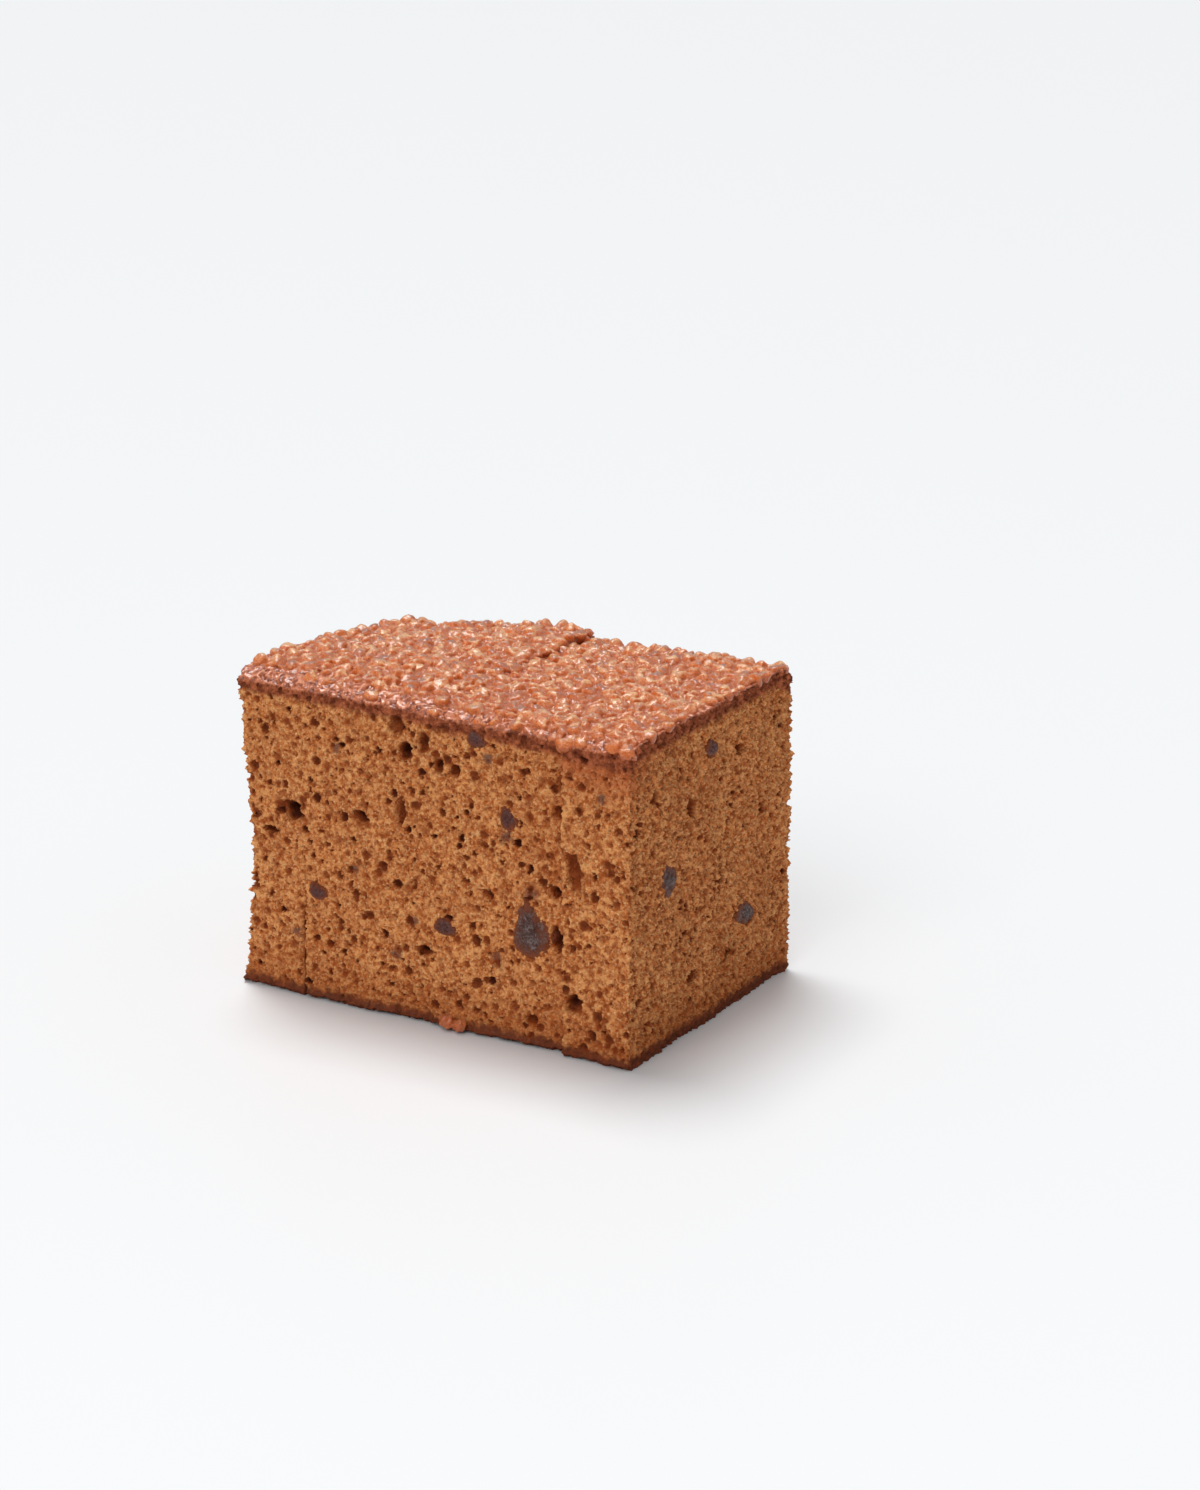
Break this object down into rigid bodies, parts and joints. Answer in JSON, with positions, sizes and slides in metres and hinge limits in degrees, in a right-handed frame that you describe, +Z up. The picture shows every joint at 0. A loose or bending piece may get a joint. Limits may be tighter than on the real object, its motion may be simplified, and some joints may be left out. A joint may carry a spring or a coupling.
{
  "type": "gingerbread cake",
  "caption": "Block of sliced gingerbread cake with raisins in its crumb and sugar lumps on its top crust, the cut slices still standing together.",
  "frame": {"origin": "middle of the base, on the surface that the cake stands on", "axes": "+X runs along the row of slices from the left end to the right end, +Y from the front crumb face to the back one, +Z up"},
  "size_m": [0.0968, 0.0688, 0.071],
  "materials": {
    "crumb": "matt, moist, porous cake crumb",
    "sugar": "glossy half-clear lumps of browned sugar",
    "raisin": "wrinkled, slightly sticky dark raisin skin"
  },
  "bodies": {
    "root": {"slice_1": "crumb", "slice_2": "crumb", "slice_3": "crumb", "slice_4": "crumb", "slice_5": "crumb", "slice_6": "crumb", "raisin_1": "raisin", "raisin_2": "raisin", "raisin_3": "raisin", "raisin_4": "raisin", "raisin_5": "raisin", "raisin_6": "raisin", "raisin_7": "raisin", "raisin_8": "raisin", "raisin_9": "raisin", "raisin_10": "raisin", "raisin_11": "raisin", "raisin_12": "raisin", "raisin_13": "raisin"}
  },
  "joints": []
}
